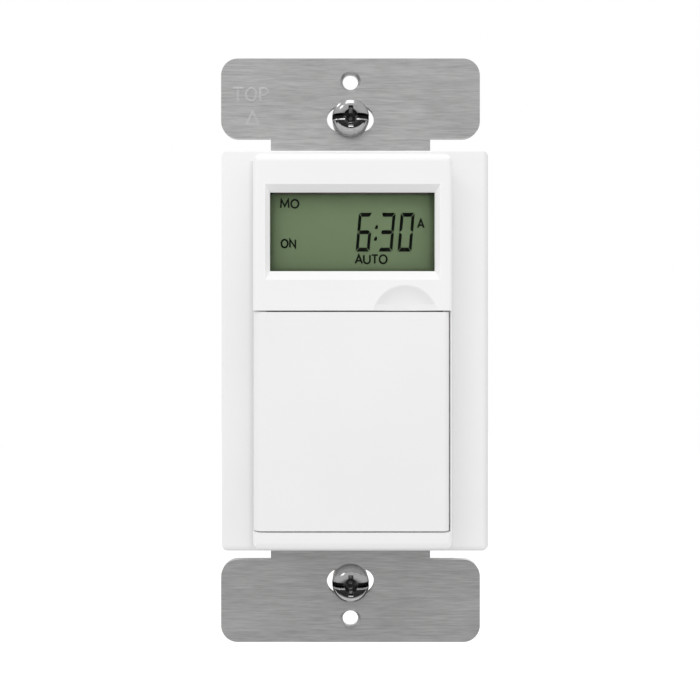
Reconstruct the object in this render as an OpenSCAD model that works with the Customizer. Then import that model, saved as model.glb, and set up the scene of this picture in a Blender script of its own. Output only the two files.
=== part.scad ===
// In-wall timer light switch: a steel strap, a white front with a readout window, and a
// door hinged at its left edge over eight sprung keys, with the boards and relay behind.
// Everything is drawn lying on its back, x to the right, y up the wall and z into the room,
// and upright() stands it up: +Z up, the front facing -Y, the wall plane at y = 0.

/* [Mounting strap] */
// Thickness of the steel strap
strap_t = 1.2; // [0.8:0.1:1.6]
// Width of the strap's ears
ear_w = 46.6; // [42:0.2:54]
// Distance from a wall plate hole to the end of the strap
ear_end = 4.13; // [3.2:0.01:6]
// Height of the upper ear
upper_ear_h = 14.35; // [13.8:0.05:15]
// Height of the lower ear
lower_ear_h = 14.85; // [13.8:0.05:15]
// Width of the necks between the ears and the housing
neck_w = 28.7; // [24:0.1:40]
// Radius of the ears' corners
ear_corner_r = 3; // [1:0.1:5]
// Margin of the hidden frame around the rear housing
strap_margin = 0.6; // [0.3:0.1:0.8]
// Clearance of the strap's opening beside the control board
opening_clear = 0.5; // [0.3:0.1:1.2]
// Height of the strap's crosspieces inside the rear housing
crosspiece_h = 5.5; // [5:0.1:7]
// Distance from the flange's end to a box screw, which gives the screws a pitch of 83.34
box_screw_out = 6.47; // [6:0.01:8]
// Width of the oval slots for the box screws
slot_w = 8.5; // [7:0.1:10]
// Height of the oval slots for the box screws
slot_h = 4.6; // [4:0.1:4.8]
// Distance from a box screw to the tapped hole for the wall plate
plate_screw_out = 6.75; // [6.2:0.01:9]
// Radius of the tapped holes for the wall plate
plate_hole_r = 1.4; // [1.2:0.05:1.6]
// Widening of a tapped hole's mouth
plate_hole_lip = 0.45; // [0.2:0.05:0.6]

/* [Box screws] */
// Diameter over the thread
thread_d = 3.5; // [3:0.05:3.7]
// Diameter of the relieved neck under the head
screw_neck_d = 2.9; // [2.4:0.05:3]
// Diameter of the head
head_d = 6.6; // [6:0.1:7.4]
// Height of the head
head_h = 2.3; // [1.6:0.1:3]
// Height of the head's straight rim
head_rim_h = 0.7; // [0.4:0.1:1]
// Length of the screw behind the strap
screw_reach = 20; // [12:0.5:30]
// Width of the recesses in the head
recess_w = 0.9; // [0.6:0.05:1.2]
// Depth of the recesses in the head
recess_depth = 1.2; // [0.6:0.1:1.4]
// Span of the cross recess
cross_span = 3.6; // [2.8:0.1:4.4]
// Length of the relieved neck between the washer and the thread
neck_relief = 0.4; // [0.3:0.1:2]
// Diameter of the fibre washer that keeps the screw in the strap
washer_d = 6.4; // [5.8:0.1:9]
// Thickness of the fibre washer
washer_t = 0.8; // [0.4:0.1:1.2]

/* [Front housing] */
// Width of the flange to the left of the raised section
flange_left = 6.2; // [5:0.1:8]
// Width of the flange to the right of the raised section
flange_right = 7.5; // [5:0.1:9]
// Width of the flange above and below the raised section
flange_end = 1.9; // [1.4:0.1:3]
// Rise of the flange above the strap
flange_rise = 3.4; // [2.6:0.1:4.2]
// Corner radius of the flange
flange_corner_r = 1.25; // [0.8:0.05:3]
// Rounding of the flange's front edge
flange_edge_r = 0.3; // [0.3:0.1:0.7]
// Width of the raised section that passes through the wall plate
raised_w = 33.2; // [30:0.1:37]
// Height of the raised section
raised_h = 66.6; // [60:0.1:74]
// Rise of the face above the strap
face_rise = 11; // [10.6:0.1:13]
// Corner radius of the raised section
raised_corner_r = 2.1; // [1.7:0.1:3]
// Rounding of the face's top and bottom edges
crown_r = 1.6; // [0.8:0.1:2]
// Rounding of the face's side edges
side_r = 0.8; // [0.4:0.1:1.2]
// Wall of the housing's sides and of the keypad plate
wall = 1.4; // [1.1:0.1:1.5]
// Thickness of the face around the readout
face_wall = 1.6; // [1.2:0.1:1.8]
// Width of the face beside the readout
face_side = 2; // [1.6:0.1:4]
// Height of the face between the readout and the door
face_band = 5.35; // [4.6:0.05:7]
// Height of the face below the door
face_foot = 3.5; // [3:0.1:6]

/* [Readout] */
// Height of the bezel's outer edge
bezel_h = 15.9; // [12:0.1:20]
// Depth of the bezel's slope
bezel_depth = 1; // [0.6:0.1:1.1]
// Width of the slope at the bezel's sides
bezel_side = 0.8; // [0.5:0.1:1.2]
// Width of the slope at the bezel's top
bezel_top = 1.2; // [0.8:0.1:2]
// Width of the slope at the bezel's bottom
bezel_bottom = 1.5; // [0.8:0.1:2.2]
// Thickness of the clear window
window_t = 1; // [0.8:0.1:1.2]
// Overlap of the clear window behind the opening
window_lap = 0.7; // [0.4:0.1:0.9]
// Thickness of one sheet of the readout's glass
glass_t = 0.7; // [0.5:0.05:0.9]
// Overlap of the rear glass behind the opening, above and below
glass_lap = 0.1; // [0.1:0.05:0.4]
// Width of the ledge that the contact strips press on
contact_ledge = 0.8; // [0.6:0.05:1]
// Thickness of the reflector behind the glass
reflector_t = 0.2; // [0.1:0.05:0.4]
// Wall of the frame that holds the glass
holder_wall = 0.6; // [0.4:0.05:0.7]
// Width of the step in the frame that carries the glass
shelf_w = 0.7; // [0.4:0.1:1]
// Space between that frame and the housing's side walls
holder_side_room = 0.2; // [0.1:0.05:0.6]
// Space between that frame and the screw bosses above it
holder_room = 0.25; // [0.1:0.05:2]
// Radius of the thumb scoop where it meets the face
scoop_r = 5.5; // [4:0.1:6]
// Depth of the thumb scoop
scoop_depth = 1.2; // [0.8:0.1:1.3]
// Distance of the scoop's centre from the door's free edge
scoop_inset = 7.4; // [6.4:0.1:20]
// Distance of the scoop's centre below the door's top edge
scoop_drop = 1; // [0:0.1:1.5]

/* [Door] */
// Thickness of the door
door_t = 1.6; // [1.2:0.1:2]
// Radius of the hinge barrel at the door's left edge
barrel_r = 1.8; // [1.7:0.05:2.2]
// Rounding of the door's free edge
door_edge_r = 1.2; // [0.6:0.1:1.4]
// Gap all around the door
door_gap = 0.25; // [0.2:0.05:0.4]
// Radius of the door's hinge pins
pin_r = 0.8; // [0.6:0.05:0.9]
// Length of the door's hinge pins
pin_len = 1.3; // [0.9:0.1:1.5]
// Radial clearance of the hinge pins
pin_clear = 0.05; // [0.02:0.01:0.1]
// Clearance under the door and around its barrel
under_door = 0.3; // [0.2:0.05:0.5]
// Width of the rim beside the door's free edge
rim_w = 0.2; // [0.2:0.05:0.6]
// Drop of that rim below the face
rim_drop = 1; // [0.6:0.1:1.4]
// Height of the snap lug on the door, along its edge
lug_h = 4; // [2:0.2:6]
// Thickness of the snap lug
lug_t = 1.1; // [0.8:0.1:1.4]
// Length of the snap lug below the door
lug_len = 2; // [1.6:0.1:2.4]
// Distance of the snap lug below the door's top edge
lug_drop = 20.6; // [8:0.1:28]
// Space between the snap lug and the side wall
lug_room = 1; // [0.6:0.1:3]

/* [Keys] */
// Corner radius of the keys
key_corner_r = 1.2; // [0.4:0.1:1.6]
// Space between the hinge's trough and the left keys
key_inset = 1.5; // [1.2:0.1:4]
// Space between the two columns of keys
key_gap = 2.8; // [1.6:0.1:5]
// Space between the right keys and the snap lug
key_to_lug = 2.7; // [2:0.1:5]
// Space between the rows of keys
row_gap = 3.7; // [2.4:0.1:5]
// Distance of the first row of keys below the door's top edge
first_row_drop = 5.9; // [4:0.1:8]
// Distance of the last row of keys above the door's bottom edge
last_row_rise = 5.6; // [4.6:0.1:8]
// Radius of the recessed reset key
reset_r = 1.3; // [1:0.1:1.6]
// Distance of the reset key's middle from the keys' right edge
reset_inset = 2; // [1.6:0.1:4]
// Space between the mode key and the reset key
reset_gap = 2.9; // [1.6:0.1:5]
// Depth of the reset key's end below the keypad plate's front
reset_sunk = 0.3; // [0.1:0.05:0.6]
// Rise of the keys above the keypad plate
key_proud = 0.7; // [0.5:0.05:0.8]
// Space between the keys and the closed door
key_room = 0.5; // [0.4:0.05:0.7]
// Clearance of the keys in their holes
key_clear = 0.15; // [0.1:0.05:0.25]
// Margin of a key's skirt behind the keypad plate
skirt_margin = 0.5; // [0.4:0.05:0.5]
// Thickness of a key's skirt
skirt_t = 0.7; // [0.5:0.1:0.8]
// Space between a skirt and the keypad plate
skirt_room = 0.1; // [0.05:0.05:0.3]
// Radius of a key's stem
stem_r = 1.3; // [1:0.1:1.6]
// Travel of a key
key_travel = 0.4; // [0.25:0.05:0.5]

/* [Boards] */
// Thickness of the control board
control_board_t = 1; // [0.8:0.1:1.2]
// Space between the strap and the control board
control_board_gap = 0.4; // [0.3:0.05:0.6]
// Clearance of the control board beside the housing's walls
board_clear = 0.3; // [0.2:0.05:0.6]
// Clearance of the control board at the screw bosses above and below
board_end_clear = 0.7; // [0.4:0.1:1]
// Side of a push switch
tact_w = 4.5; // [4:0.1:5]
// Height of a push switch
tact_h = 2.5; // [2:0.1:2.6]
// Radius of a push switch's plunger
plunger_r = 1.2; // [1:0.05:1.4]
// Rise of a push switch's plunger
plunger_proud = 1; // [0.8:0.1:1.2]
// Depth of a plunger inside its switch
plunger_sunk = 0.5; // [0.3:0.1:0.7]
// Radial clearance of a plunger
plunger_clear = 0.05; // [0.02:0.01:0.1]
// Thickness of the power board
power_board_t = 1.6; // [1.2:0.1:1.8]
// Clearance of the power board beside the rear housing's walls
power_board_clear = 0.4; // [0.2:0.1:0.8]
// Clearance of the power board at the screw bosses above and below
power_board_end_clear = 0.8; // [0.4:0.1:1.4]
// Distance from the wall plane back to the power board
power_board_drop = 4; // [3.6:0.1:4.6]
// Radius of the posts that carry the control board
post_r = 1.3; // [1.2:0.05:1.6]
// Radius of the posts that carry the power board
power_post_r = 1.8; // [1.4:0.1:2.2]
// Radius of the boards' screws
board_screw_r = 0.8; // [0.6:0.05:0.9]
// Length of a screw's thread in a post of the control board
board_screw_bite = 2.4; // [1.6:0.1:3]
// Length of a screw's thread in a post of the power board
power_screw_bite = 3; // [2:0.1:4]

/* [Rear housing] */
// Width by which the rear housing passes the raised section on each side
rear_side = 5; // [4.6:0.1:6]
// Height by which the rear housing passes the raised section at each end
rear_end = 0.5; // [0.4:0.05:1]
// Depth of the rear housing behind the wall plane
rear_depth = 29; // [27:0.5:36]
// Wall of the rear housing
rear_wall = 1.8; // [1.4:0.1:1.8]
// Corner radius of the rear housing
rear_corner_r = 2.5; // [2:0.1:4]
// Rounding of the rear housing's back edges
rear_edge_r = 1.5; // [0.8:0.1:2]
// Distance of the case screws from the front housing's side walls
case_screw_inset = 2.3; // [2:0.1:3]
// Distance of the case screws from the front housing's end walls
case_screw_end = 1.5; // [1.3:0.05:1.7]
// Radius of a case screw's thread
case_screw_r = 1.25; // [1.1:0.05:1.3]
// Radius of a case screw's head
case_head_r = 2; // [1.8:0.1:2.1]
// Height of a case screw's head
case_head_h = 1.8; // [1.4:0.1:2.4]
// Length of a case screw from under its head
case_screw_len = 10; // [8:0.5:10.5]
// Radius of the front housing's screw bosses
front_boss_r = 1.9; // [1.7:0.05:1.9]
// Radius of the rear housing's screw bosses
rear_boss_r = 3.1; // [2.8:0.1:3.2]
// Plastic between a case screw's head and the wall plane
boss_floor = 3; // [2:0.1:3.4]
// Width of the outlet that the leads leave by
outlet_w = 24; // [20:0.5:26]
// Height of the outlet that the leads leave by
outlet_h = 5; // [4.6:0.1:5.4]
// Distance of the outlet's middle below the upper case screws
outlet_drop = 6; // [5.8:0.1:8]
// Width of the shallow field for a label on the back
label_w = 26; // [16:0.5:30]
// Height of that field
label_h = 30; // [16:0.5:36]
// Depth of that field
label_depth = 0.4; // [0.2:0.05:0.6]
// Pitch of the four lead terminals
lead_pitch = 6.2; // [5:0.1:7]

/* [Hidden] */
$fn = 48;
over = 0.5;
sunk = 0.1;
hair = 0.01;

// Widths: the keys fill the plate between the hinge's trough and the snap lug.
inner_w = raised_w - 2 * wall;
trough_w = 2 * barrel_r + under_door;
keys_w = raised_w - trough_w - key_inset - key_to_lug - lug_t - lug_room - wall;
key_w = (keys_w - key_gap) / 2;
key_pitch_x = key_w + key_gap;
flange_w = flange_left + raised_w + flange_right;
flange_shift = (flange_right - flange_left) / 2;
rear_w = raised_w + 2 * rear_side;

// The readout, from the opening in the bezel back to its frame.
holder_clear = 0.1;
bezel_w = raised_w - 2 * face_side;
window_w = bezel_w - 2 * bezel_side;
window_h = bezel_h - bezel_top - bezel_bottom;
window_rise = (bezel_bottom - bezel_top) / 2;
glass_w = inner_w - 2 * (holder_side_room + holder_wall + holder_clear);
back_glass_h = window_h + 2 * glass_lap;
front_glass_h = back_glass_h + 2 * contact_ledge;
holder_inner_w = glass_w + 2 * holder_clear;
holder_inner_h = front_glass_h + 2 * holder_clear;
holder_h = holder_inner_h + 2 * holder_wall;

// Heights on the wall: the face over the bezel, the bezel, the band, the door and the foot.
// The four rows of keys fill the height behind the door.
holder_over = holder_h / 2 + window_rise - bezel_h / 2;
face_head = wall + case_screw_end + front_boss_r + holder_room + holder_over;
door_h = raised_h - face_head - bezel_h - face_band - face_foot;
key_pitch_y = (door_h - first_row_drop - last_row_rise) / 3;
key_h = key_pitch_y - row_gap;
key_r = min(key_corner_r, key_h / 2 - 0.1);
inner_h = raised_h - 2 * wall;
bezel_y = raised_h / 2 - face_head - bezel_h / 2;
window_y = bezel_y + window_rise;
door_top = bezel_y - bezel_h / 2 - face_band;
door_bottom = door_top - door_h;
flange_h = raised_h + 2 * flange_end;
rear_h = raised_h + 2 * rear_end;
rear_inner_r = 1.7;

// The screws and the strap, outwards from the housing.
box_screw_pitch = flange_h + 2 * box_screw_out;
plate_screw_pitch = box_screw_pitch + 2 * plate_screw_out;
strap_h = plate_screw_pitch + 2 * ear_end;
case_screw_x = inner_w / 2 - case_screw_inset;
case_screw_y = inner_h / 2 - case_screw_end;
case_screw_clear = 0.25;
case_head_clear = 0.2;
case_recess_span = 2.4;
case_recess_w = 0.6;
case_recess_depth = 0.5;
washer_fit = 0.02;

// Heights above the wall plane, from the strap to the face.
flange_top = strap_t + flange_rise;
face = strap_t + face_rise;
under_face = face - face_wall;
door_back = face - door_t;
keypad_floor = door_back - key_room - key_proud;
keypad_low = keypad_floor - wall;
board_back = strap_t + control_board_gap;
board_front = board_back + control_board_t;
tact_top = board_front + tact_h;
plunger_top = tact_top + plunger_proud;
skirt_top = keypad_low - skirt_room;
glass_air = 0.2;
window_back = under_face - window_t;
glass_front = window_back - glass_air;
glass_middle = glass_front - glass_t;
glass_back = glass_middle - glass_t;
reflector_back = glass_back - reflector_t;

// The door and its hinge.
hinge_x = -raised_w / 2 + barrel_r;
hinge_z = face - barrel_r;
door_right = raised_w / 2 - rim_w - door_gap;
trough_right = trough_w - raised_w / 2;
trough_floor = hinge_z - barrel_r - under_door;
recess_top = door_top + door_gap;
recess_bottom = door_bottom - door_gap;
lug_x = raised_w / 2 - wall - lug_room - lug_t;
lug_y = door_top - lug_drop;
scoop_x = door_right - scoop_inset;

// The boards, their posts and their screws.
control_board_w = inner_w - 2 * board_clear;
control_board_h = 2 * (case_screw_y - front_boss_r - board_end_clear);
strap_opening_w = control_board_w + 2 * opening_clear;
strap_opening_h = rear_h - 2 * rear_wall - 2 * crosspiece_h;
opening_corner_r = 2;
power_board_w = rear_w - 2 * rear_wall - 2 * power_board_clear;
power_board_h = 2 * (case_screw_y - rear_boss_r - power_board_end_clear);
power_board_front = -power_board_drop;
power_board_back = power_board_front - power_board_t;
rear_floor = rear_wall - rear_depth;
board_screw_head_r = 1.5;
board_screw_head_h = 0.9;
board_hole_clear = 0.1;
screw_hole_spare = 0.6;
post_x = control_board_w / 2 - board_screw_head_r;
post_rows = [recess_top + wall / 2, board_screw_head_r + 1 - strap_opening_h / 2];
power_post_x = power_board_w / 2 - power_post_r - 1;
power_post_y = power_board_h / 2 - power_post_r - board_screw_head_r;

// The ground lug and its rivet.
rivet_r = 1;
rivet_fit = 0.05;
rivet_head_lip = 0.6;
rivet_head_h = 0.3;
ground_w = 5.6;
ground_h = 3.8;
ground_t = 0.8;
ground_tongue = 7;
ground_room = 0.5;
ground_y = ground_room + ground_h / 2 + rear_wall - rear_h / 2;

// What stands on the back of the control board.
chip_at = [-6, -8];
chip_w = 10;
chip_t = 1.4;
chip_standoff = 0.2;
chip_lead_pitch = 1;
chip_lead_w = 0.4;
chip_lead_t = 0.6;
chip_lead_reach = 1.2;
crystal_at = [6, -8];
crystal_r = 1;
crystal_len = 6;
crystal_wire_r = 0.2;
crystal_wire_x = 0.5;
crystal_wire_len = 1.4;
cell_at = [0, 13];
cell_r = 8;
cell_h = 2;
cell_step = 0.5;
cell_lip = 1;
cell_clear = 0.2;
clip_w = 6;
clip_t = 0.3;
clip_foot = 2.2;
header_w = 15.4;
header_h = 2.5;
header_foot = 3.9;
header_at = [0, header_foot - strap_opening_h / 2];
strip_end_room = 0.5;
strip_side_room = 0.1;

// What stands on the back of the power board, from the terminals below the outlet down.
terminal_size = [2.6, 0.8, 5];
terminal_drop = 3.6;
outlet_y = case_screw_y - outlet_drop;
terminal_y = outlet_y - terminal_drop;
label_drop = 3;
label_y = outlet_y - outlet_h / 2 - label_drop - label_h / 2;
label_corner_r = 1;
wire_r = 0.35;
diode_r = 1.35;
diode_len = 4.2;
diode_pitch = 3.6;
diode_drop = 3.1;
diode_row = [-8.6, terminal_y - diode_drop];
diode_low = diode_row.y - diode_len / 2;
film_capacitor_size = [18, 7.6, 14];
film_capacitor_drop = 1.4;
film_capacitor_low = diode_low - film_capacitor_drop - film_capacitor_size.y;
film_capacitor_at = [4, film_capacitor_low + film_capacitor_size.y / 2];
fuse_r = 4.1;
fuse_h = 8;
fuse_drop = 2.1;
fuse_side = 5.9;
fuse_at = [
    power_board_w / 2 - fuse_side - fuse_r,
    film_capacitor_low - fuse_drop - fuse_r
];
relay_size = [15.4, 19.6, 15.3];
relay_foot = 6.2;
relay_at = [-8.5, relay_size.y / 2 + relay_foot - power_board_h / 2];
relay_lid = 0.3;
relay_lid_inset = 1;
varistor_at = [-12, (relay_at.y + relay_size.y / 2 + diode_low) / 2];
varistor_r = 4.4;
varistor_t = 3.4;
varistor_rise = 6;
varistor_wire_y = 2.5;
smoothing_capacitor_r = 5;
smoothing_capacitor_side = 4.8;
smoothing_capacitor_at = [power_board_w / 2 - smoothing_capacitor_side - smoothing_capacitor_r, -13];
smoothing_capacitor_h = 16;
resistor_r = 1.8;
resistor_inset = 0.6;
resistor_at = [power_board_w / 2 - resistor_r - resistor_inset, 0];
resistor_len = 10;
resistor_rise = 2;
resistor_wire_out = 1;

// Keys: the centres of the six small keys, the mode key and the reset key.
key_left = trough_right + key_inset;
left_column = key_left + key_w / 2;
right_column = left_column + key_pitch_x;
function row_y(row) = door_top - first_row_drop - row * key_pitch_y;
PROGRAM = [left_column, row_y(0)];
DAY = [right_column, row_y(0)];
CLOCK = [left_column, row_y(1)];
HOUR = [right_column, row_y(1)];
RANDOM = [left_column, row_y(2)];
MINUTE = [right_column, row_y(2)];
RESET = [key_left + keys_w - reset_inset, row_y(3)];
mode_key_w = RESET.x - reset_r - reset_gap - key_left;
MODE = [key_left + mode_key_w / 2, row_y(3)];
SMALL_KEYS = [PROGRAM, DAY, CLOCK, HOUR, RANDOM, MINUTE];
ALL_KEYS = concat(SMALL_KEYS, [MODE, RESET]);

module upright() {
    rotate([90, 0, 0]) children();
}

// A prism over its outline, from one height to another.
module rise(low, high) {
    translate([0, 0, low]) linear_extrude(high - low) children();
}

// A rectangle with round corners, centred.
module rounded(w, h, r) {
    square([w - 2 * r, h], center = true);
    square([w, h - 2 * r], center = true);
    for (x = [-1, 1], y = [-1, 1])
        translate([x * (w / 2 - r), y * (h / 2 - r)]) circle(r);
}

module oval(w, h) {
    square([w - h, h], center = true);
    for (x = [-1, 1])
        translate([x * (w - h) / 2, 0]) circle(h / 2);
}

module at_corners(x, y) {
    for (sx = [-1, 1], sy = [-1, 1])
        translate([sx * x, sy * y]) children();
}

// The cross-section of a block whose two upper edges are rounded.
module crowned(w, low, high, r) {
    translate([-w / 2, low]) square([w, high - low - r]);
    translate([-w / 2 + r, low]) square([w - 2 * r, high - low]);
    for (x = [-1, 1])
        translate([x * (w / 2 - r), high - r]) circle(r);
}

// A block with round corners, whose top and bottom edges and side edges are rounded in front.
module pillow(w, h, low, high, corner_r, end_r, edge_r) {
    intersection() {
        rise(low, high) rounded(w, h, corner_r);
        rotate([90, 0, 90]) linear_extrude(w + 2, center = true) crowned(h, low, high, end_r);
        rotate([90, 0, 0]) linear_extrude(h + 2, center = true) crowned(w, low, high, edge_r);
    }
}

// A hollow that narrows from its mouth at the face to the window opening.
module bezel_slope() {
    low = face - bezel_depth;
    high = face + over;
    grow = over / bezel_depth;
    side = window_w / 2;
    top = window_h / 2;
    intersection() {
        rotate([90, 0, 0]) linear_extrude(2 * bezel_h, center = true)
            polygon([
                [-side, low], [side, low],
                [side + bezel_side * (1 + grow), high], [-side - bezel_side * (1 + grow), high]
            ]);
        rotate([90, 0, 90]) linear_extrude(2 * bezel_w, center = true)
            polygon([
                [-top, low], [top, low],
                [top + bezel_top * (1 + grow), high], [-top - bezel_bottom * (1 + grow), high]
            ]);
    }
}

module strap_outline() {
    translate([0, (strap_h - upper_ear_h) / 2]) rounded(ear_w, upper_ear_h, ear_corner_r);
    translate([0, -(strap_h - lower_ear_h) / 2]) rounded(ear_w, lower_ear_h, ear_corner_r);
    square([neck_w, strap_h - upper_ear_h], center = true);
    rounded(rear_w + 2 * strap_margin, rear_h + 2 * strap_margin, rear_corner_r);
}

// Pressed from sheet steel: the slots, the tapped holes, and an opening for the boards.
module mounting_strap() {
    color("silver") upright() difference() {
        rise(0, strap_t) strap_outline();
        rise(-over, strap_t + over)
            rounded(strap_opening_w, strap_opening_h, opening_corner_r);
        for (side = [-1, 1]) {
            translate([0, side * box_screw_pitch / 2])
                rise(-over, strap_t + over) oval(slot_w, slot_h);
            translate([0, side * plate_screw_pitch / 2, 0]) {
                translate([0, 0, -over]) cylinder(h = strap_t + 2 * over, r = plate_hole_r);
                translate([0, 0, strap_t - plate_hole_lip])
                    cylinder(
                        h = plate_hole_lip + hair,
                        r1 = plate_hole_r,
                        r2 = plate_hole_r + plate_hole_lip
                    );
            }
        }
        at_corners(case_screw_x, case_screw_y)
            translate([0, 0, -over])
                cylinder(h = strap_t + 2 * over, r = case_screw_r + case_screw_clear);
        translate([0, ground_y, -over]) cylinder(h = strap_t + 2 * over, r = rivet_r + rivet_fit);
    }
}

// Riveted to the strap's crosspiece below the opening, with a tongue into the rear housing.
module ground_lug() {
    color("goldenrod") upright() {
        translate([-ground_w / 2, ground_y - ground_h / 2, -ground_t])
            cube([ground_w, ground_h, ground_t]);
        translate([-ground_w / 2, ground_y - ground_h / 2, -ground_tongue])
            cube([ground_w, ground_t, ground_tongue]);
        translate([0, ground_y, -ground_t / 2]) cylinder(h = strap_t + ground_t, r = rivet_r);
        translate([0, ground_y, strap_t]) cylinder(h = rivet_head_h, r = rivet_r + rivet_head_lip);
    }
}

// A shell moulded in one piece: the flange, the bezel, the keypad plate and the door's hinge eyes.
module front_housing() {
    color("white") upright() difference() {
        union() {
            difference() {
                union() {
                    translate([flange_shift, 0, 0])
                        pillow(
                            flange_w, flange_h, strap_t, flange_top,
                            flange_corner_r, flange_edge_r, flange_edge_r
                        );
                    pillow(raised_w, raised_h, strap_t, face, raised_corner_r, crown_r, side_r);
                }
                translate([flange_shift, 0, 0]) rise(strap_t - over, flange_top - wall)
                    square([flange_w - 2 * wall, flange_h - 2 * wall], center = true);
                display_cavity();
                keypad_cavity();
                door_recess();
            }
            for (x = [-1, 1], y = [-1, 1])
                translate([x * case_screw_x, y * case_screw_y, strap_t])
                    cylinder(h = post_top(x) - strap_t, r = front_boss_r);
            for (x = [-1, 1], y = post_rows)
                translate([x * post_x, y, board_front])
                    cylinder(h = post_top(x) - board_front, r = post_r);
            translate([scoop_x - scoop_r, recess_top, glass_front + holder_clear])
                cube([2 * scoop_r, scoop_r - scoop_drop - door_gap, window_t + glass_air]);
        }
        translate([0, window_y, 0]) bezel_slope();
        translate([0, window_y, 0])
            rise(under_face - over, face) square([window_w, window_h], center = true);
        thumb_scoop();
        key_holes();
        translate([lug_x - under_door, lug_y - lug_h / 2 - under_door, keypad_low - over])
            cube([lug_t + 2 * under_door, lug_h + 2 * under_door, keypad_floor - keypad_low + 2 * over]);
        translate([hinge_x, recess_bottom - pin_len, hinge_z]) rotate([-90, 0, 0])
            cylinder(h = door_h + 2 * door_gap + 2 * pin_len, r = pin_r + pin_clear);
        at_corners(case_screw_x, case_screw_y)
            translate([0, 0, strap_t - over])
                cylinder(h = case_screw_len - boss_floor - strap_t + 2 * over, r = case_screw_r);
        for (x = [-1, 1], y = post_rows)
            translate([x * post_x, y, board_front - over])
                cylinder(h = board_screw_bite + screw_hole_spare + over, r = board_screw_r);
    }
}

// Posts end in the plate behind the keys, or at the left in the floor under the hinge.
function post_top(side) = side < 0 ? trough_floor - wall / 2 : keypad_low + wall / 2;

module display_cavity() {
    low = recess_top + wall;
    translate([-inner_w / 2, low, strap_t - over])
        cube([inner_w, inner_h / 2 - low, under_face - strap_t + over]);
}

module keypad_cavity() {
    bottom = -inner_h / 2;
    height = recess_top + wall + over - bottom;
    translate([-inner_w / 2, bottom, strap_t - over])
        cube([inner_w, height, trough_floor - wall - strap_t + over]);
    translate([trough_right, bottom, strap_t - over])
        cube([inner_w / 2 - trough_right, height, keypad_low - strap_t + over]);
}

module door_recess() {
    height = recess_top - recess_bottom;
    left = -raised_w / 2 - over;
    ledge = raised_w / 2 - wall;
    rim = raised_w / 2 - rim_w;
    translate([left, recess_bottom, trough_floor]) cube([trough_right - left, height, face]);
    translate([trough_right - hair, recess_bottom, keypad_floor])
        cube([ledge - trough_right + 2 * hair, height, face]);
    translate([ledge, recess_bottom, door_back - under_door]) cube([rim - ledge, height, face]);
    translate([rim - hair, recess_bottom, face - rim_drop]) cube([rim_w + over, height, face]);
}

// A dish cut by a sphere, cut off straight at the door's top edge.
module thumb_scoop() {
    ball_r = (scoop_r * scoop_r + scoop_depth * scoop_depth) / (2 * scoop_depth);
    intersection() {
        translate([scoop_x, door_top - scoop_drop, face - scoop_depth + ball_r])
            sphere(ball_r, $fn = 96);
        translate([scoop_x - 2 * scoop_r, recess_top - hair, face - 2 * scoop_depth])
            cube([4 * scoop_r, 3 * scoop_r, 4 * scoop_depth]);
    }
}

module key_holes() {
    for (spot = SMALL_KEYS)
        translate(spot) rise(keypad_low - over, keypad_floor + over)
            rounded(key_w + 2 * key_clear, key_h + 2 * key_clear, key_r + key_clear);
    translate(MODE) rise(keypad_low - over, keypad_floor + over)
        rounded(mode_key_w + 2 * key_clear, key_h + 2 * key_clear, key_r + key_clear);
    translate([RESET.x, RESET.y, keypad_low - over])
        cylinder(h = wall + 2 * over, r = reset_r + key_clear);
}

// The back box of the switch, with long bosses whose screws reach into the front housing.
module rear_housing() {
    color("gainsboro") upright() difference() {
        union() {
            difference() {
                mirror([0, 0, 1])
                    pillow(rear_w, rear_h, 0, rear_depth, rear_corner_r, rear_edge_r, rear_edge_r);
                rise(rear_floor, over)
                    rounded(rear_w - 2 * rear_wall, rear_h - 2 * rear_wall, rear_inner_r);
            }
            at_corners(case_screw_x, case_screw_y)
                translate([0, 0, rear_floor - over])
                    cylinder(h = over - rear_floor, r = rear_boss_r);
            at_corners(power_post_x, power_post_y)
                translate([0, 0, rear_floor - over])
                    cylinder(h = power_board_back - rear_floor + over, r = power_post_r);
        }
        at_corners(case_screw_x, case_screw_y) {
            translate([0, 0, -rear_depth - over])
                cylinder(h = rear_depth - boss_floor + over, r = case_head_r + case_head_clear);
            translate([0, 0, -boss_floor - over])
                cylinder(h = boss_floor + 2 * over, r = case_screw_r + case_screw_clear);
        }
        at_corners(power_post_x, power_post_y)
            translate([0, 0, power_board_back - power_screw_bite - screw_hole_spare])
                cylinder(h = power_screw_bite + screw_hole_spare + over, r = board_screw_r);
        translate([0, outlet_y, 0])
            rise(-rear_depth - over, rear_floor + over) oval(outlet_w, outlet_h);
        rise(-rear_depth - over, label_depth - rear_depth)
            translate([0, label_y]) rounded(label_w, label_h, label_corner_r);
    }
}

module case_screws() {
    color("dimgray") upright() at_corners(case_screw_x, case_screw_y) {
        translate([0, 0, -boss_floor - case_head_h]) difference() {
            cylinder(h = case_head_h, r = case_head_r);
            for (turn = [0, 90])
                rotate([0, 0, turn]) translate([0, 0, case_recess_depth - over])
                    cube([case_recess_span, case_recess_w, 2 * over], center = true);
        }
        translate([0, 0, -boss_floor]) cylinder(h = case_screw_len, r = case_screw_r);
    }
}

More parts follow.
